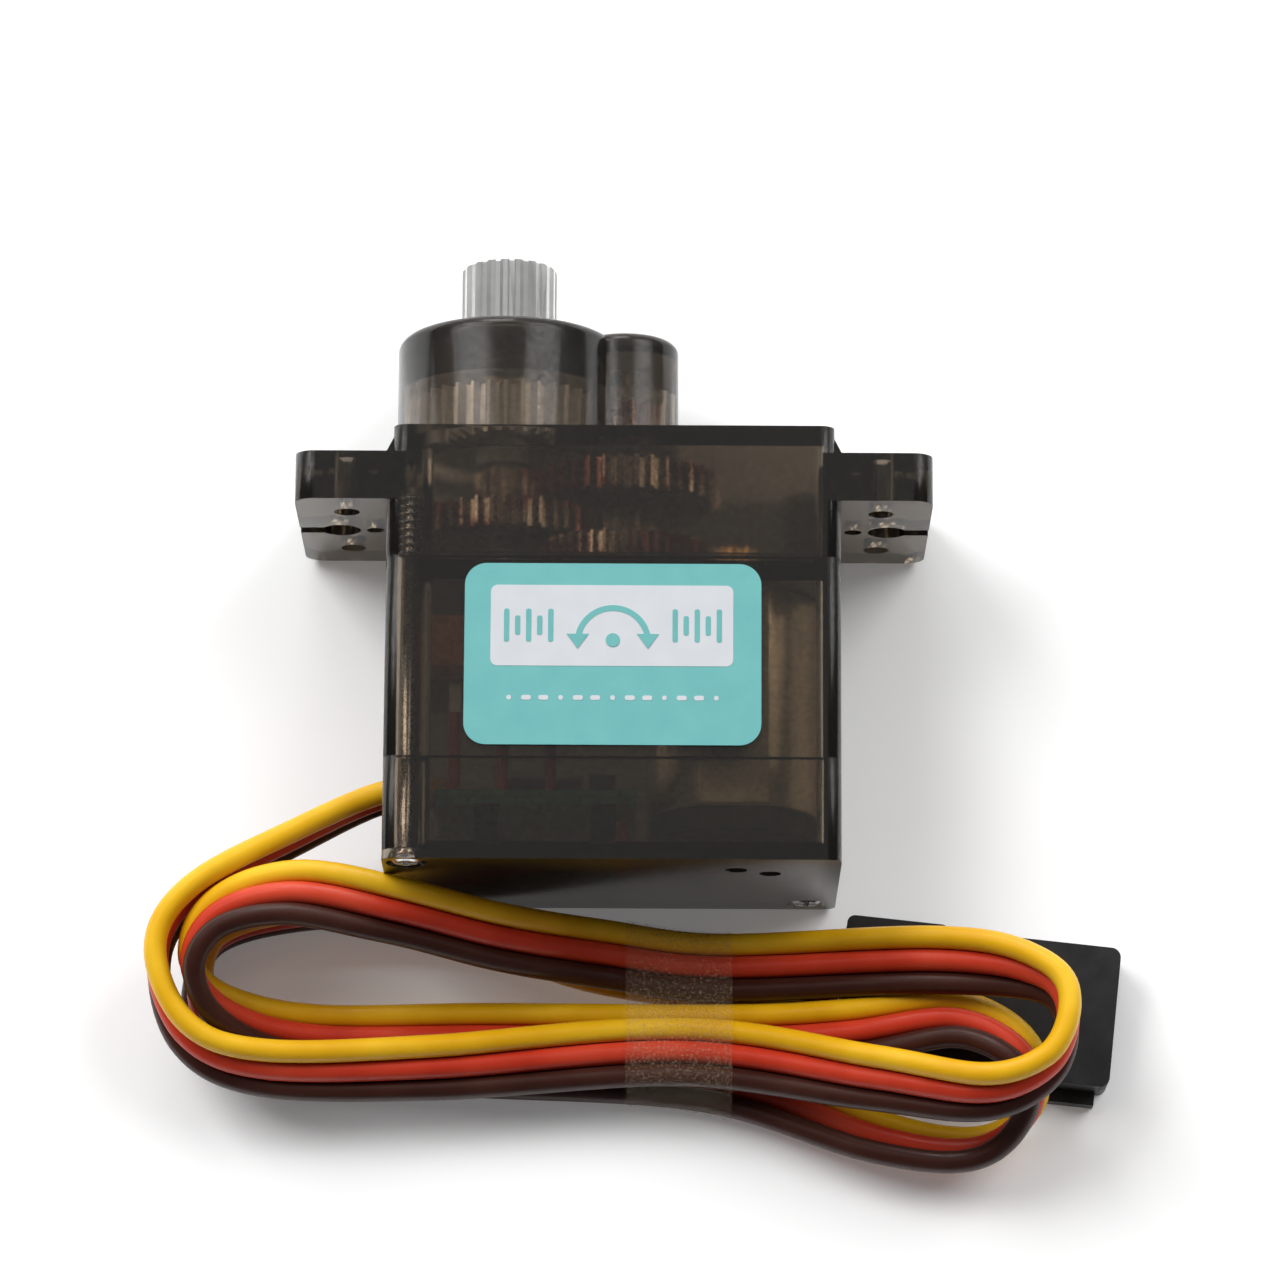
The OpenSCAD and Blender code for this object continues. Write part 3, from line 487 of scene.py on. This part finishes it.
def add_tape(lead):
    """One turn of clear film pulled tight round the bundle."""
    x0, x1 = TAPE_SPAN
    reach = 0.7 * MM
    corners = [v.co for v in lead.data.vertices]
    rings = []
    for station in range(TAPE_STATIONS):
        x = x0 + (x1 - x0) * station / (TAPE_STATIONS - 1)
        near = [(c.y, max(c.z, TAPE_GAP)) for c in corners if abs(c.x - x) < reach]
        outline = resampled(convex_outline(near), TAPE_POINTS)
        inner = grown(outline, TAPE_GAP)
        outer = grown(outline, TAPE_GAP + TAPE_THICKNESS)
        floor = 0.004 * MM
        rings.append([Vector((x, p.x, max(p.y, floor + TAPE_THICKNESS))) for p in inner])
        rings.append([Vector((x, p.x, max(p.y, floor))) for p in outer])
    vertices = [v for ring in rings for v in ring]
    faces = []
    step = 2 * TAPE_POINTS
    for inner in range(0, (TAPE_STATIONS - 1) * step, step):
        outer = inner + TAPE_POINTS
        faces += turned_over(bridge(inner, inner + step, TAPE_POINTS))
        faces += bridge(outer, outer + step, TAPE_POINTS)
    last = (TAPE_STATIONS - 1) * step
    faces += bridge(TAPE_POINTS, 0, TAPE_POINTS)
    faces += turned_over(bridge(last + TAPE_POINTS, last, TAPE_POINTS))
    tape = mesh_object("bundle_tape", vertices, faces, [FILM], smooth=True)
    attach(tape, "case")
    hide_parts("cable_tape")
    return tape


# ------------------------------------------------------------------ label print

PRINT_THICKNESS = 0.015 * MM
LABEL_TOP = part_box("label")[1].z
LABEL_MIDDLE = (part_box("label")[0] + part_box("label")[1]) / 2


def rounded_outline(width, height, radius, steps=8):
    points = []
    for corner, (sx, sy) in enumerate(((1, 1), (-1, 1), (-1, -1), (1, -1))):
        for step in range(steps + 1):
            angle = math.radians(90 * corner + 90 * step / steps)
            points.append((sx * (width / 2 - radius) + radius * math.cos(angle),
                           sy * (height / 2 - radius) + radius * math.sin(angle)))
    return points


def arc_outline(radius, thickness, start, end, steps=40):
    """A bent bar along an arc; angles in degrees."""
    angles = [math.radians(start + (end - start) * i / steps) for i in range(steps + 1)]

    def edge(distance):
        return [(distance * math.cos(a), distance * math.sin(a)) for a in angles]

    return edge(radius + thickness / 2) + edge(radius - thickness / 2)[::-1]


def print_layer(name, outlines, level, material):
    """Flat printed shapes in mm, measured from the label's middle, as thin solids."""
    vertices, faces = [], []
    low = LABEL_TOP + level * PRINT_THICKNESS
    high = low + PRINT_THICKNESS
    for outline in outlines:
        faces += tube_faces(len(vertices), 2, len(outline))
        for z in (low, high):
            vertices += [(LABEL_MIDDLE.x + x * MM, LABEL_MIDDLE.y + y * MM, z) for x, y in outline]
    layer = mesh_object(name, vertices, faces, [material])
    bm = bmesh.new()
    bm.from_mesh(layer.data)
    bmesh.ops.triangulate(bm, faces=[f for f in bm.faces if len(f.verts) > 4])
    bmesh.ops.recalc_face_normals(bm, faces=bm.faces)
    bm.to_mesh(layer.data)
    bm.free()
    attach(layer, "case")


def moved(outline, x, y):
    return [(px + x, py + y) for px, py in outline]


def add_label_print():
    """A white panel with a half-turn arrow between two scales, and a row of marks under it."""
    panel_y = 1.45
    panel = [moved(rounded_outline(12.1, 4.15, 0.35), -0.05, panel_y)]
    print_layer("label_panel", panel, 0, PRINT_WHITE)
    arc_y = panel_y - 0.85
    sweep = [moved(arc_outline(1.75, 0.3, 12, 168), 0, arc_y)]
    hub = [moved(rounded_outline(0.7, 0.7, 0.34), 0, arc_y + 0.1)]
    heads = []
    scale = []
    for side in (-1, 1):
        heads.append(moved([(side * 1.2, 0.42), (side * 1.75, -0.35), (side * 2.3, 0.42)], 0, arc_y))
        for tick in range(5):
            height = 1.7 if tick % 2 == 0 else 1.0
            scale.append(moved(rounded_outline(0.26, height, 0.1), side * (3.1 + 0.55 * tick), panel_y))
    print_layer("label_dial", sweep + scale, 1, PRINT_TEAL)
    print_layer("label_heads", heads + hub, 2, PRINT_TEAL)
    marks = []
    for i in range(13):
        width = 0.5 if i % 3 else 0.24
        marks.append(moved(rounded_outline(width, 0.24, 0.11), (i - 6) * 0.86, -2.25))
    print_layer("label_marks", marks, 0, PRINT_WHITE)


# ------------------------------------------------------------------ stage and light


def add_stage():
    m = Nodes("stage_white")
    m.colour(m.noise(40.0), (0.95, 0.95, 0.95), (0.97, 0.97, 0.97))
    m.set("Roughness", 0.9)
    m.set("Specular IOR Level", 0.1)
    m.set("Emission Color", (1.0, 1.0, 1.0, 1.0))
    m.set("Emission Strength", 0.12)
    size = 3.0
    corners = [(-size, -size, 0), (size, -size, 0), (size, size, 0), (-size, size, 0)]
    floor = mesh_object("stage_floor", corners, [(0, 1, 2, 3)], [m.material])
    floor.location.z = -0.0001 * MM


def area_light(name, place, size, power, mirrored):
    """A square lamp facing the object. One that isn't mirrored leaves no stripes on the smooth boss."""
    data = bpy.data.lights.new(name, "AREA")
    data.size = size
    data.energy = power
    light = bpy.data.objects.new(name, data)
    bpy.context.scene.collection.objects.link(light)
    light.location = place
    light.rotation_euler = Vector(place).to_track_quat("Z", "Y").to_euler()
    light.visible_glossy = mirrored


def add_sky():
    """Soft light from all round, brightest low behind the object."""
    world = bpy.data.worlds.new("studio")
    bpy.context.scene.world = world
    world.use_nodes = True
    tree = world.node_tree
    background = tree.nodes["Background"]
    background.inputs["Strength"].default_value = 0.8
    direction = tree.nodes.new("ShaderNodeTexCoord")
    towards_back = tree.nodes.new("ShaderNodeVectorMath")
    towards_back.operation = "DOT_PRODUCT"
    towards_back.inputs[1].default_value = (0.0, 0.95, 0.31)
    dome = tree.nodes.new("ShaderNodeValToRGB")
    dome.color_ramp.elements[0].position = 0.25
    dome.color_ramp.elements[0].color = (0.10, 0.10, 0.10, 1.0)
    dome.color_ramp.elements[1].position = 0.95
    dome.color_ramp.elements[1].color = (1.0, 1.0, 1.0, 1.0)
    tree.links.new(direction.outputs["Generated"], towards_back.inputs[0])
    tree.links.new(towards_back.outputs["Value"], dome.inputs["Fac"])
    tree.links.new(dome.outputs["Color"], background.inputs["Color"])


def add_lamps():
    area_light("key_light", (-0.42, 0.30, 0.52), 0.4, 4.1, False)
    area_light("fill_light", (0.42, 0.30, 0.52), 0.4, 2.4, False)
    area_light("rim_light", (-0.10, 0.60, 0.35), 0.3, 1.0, True)


# ------------------------------------------------------------------ build

lead, lead_path = add_lead()
tape = add_tape(lead)
dress_nodes()
add_label_print()
add_stage()
add_sky()
add_lamps()
bpy.context.scene.view_settings.view_transform = "Standard"
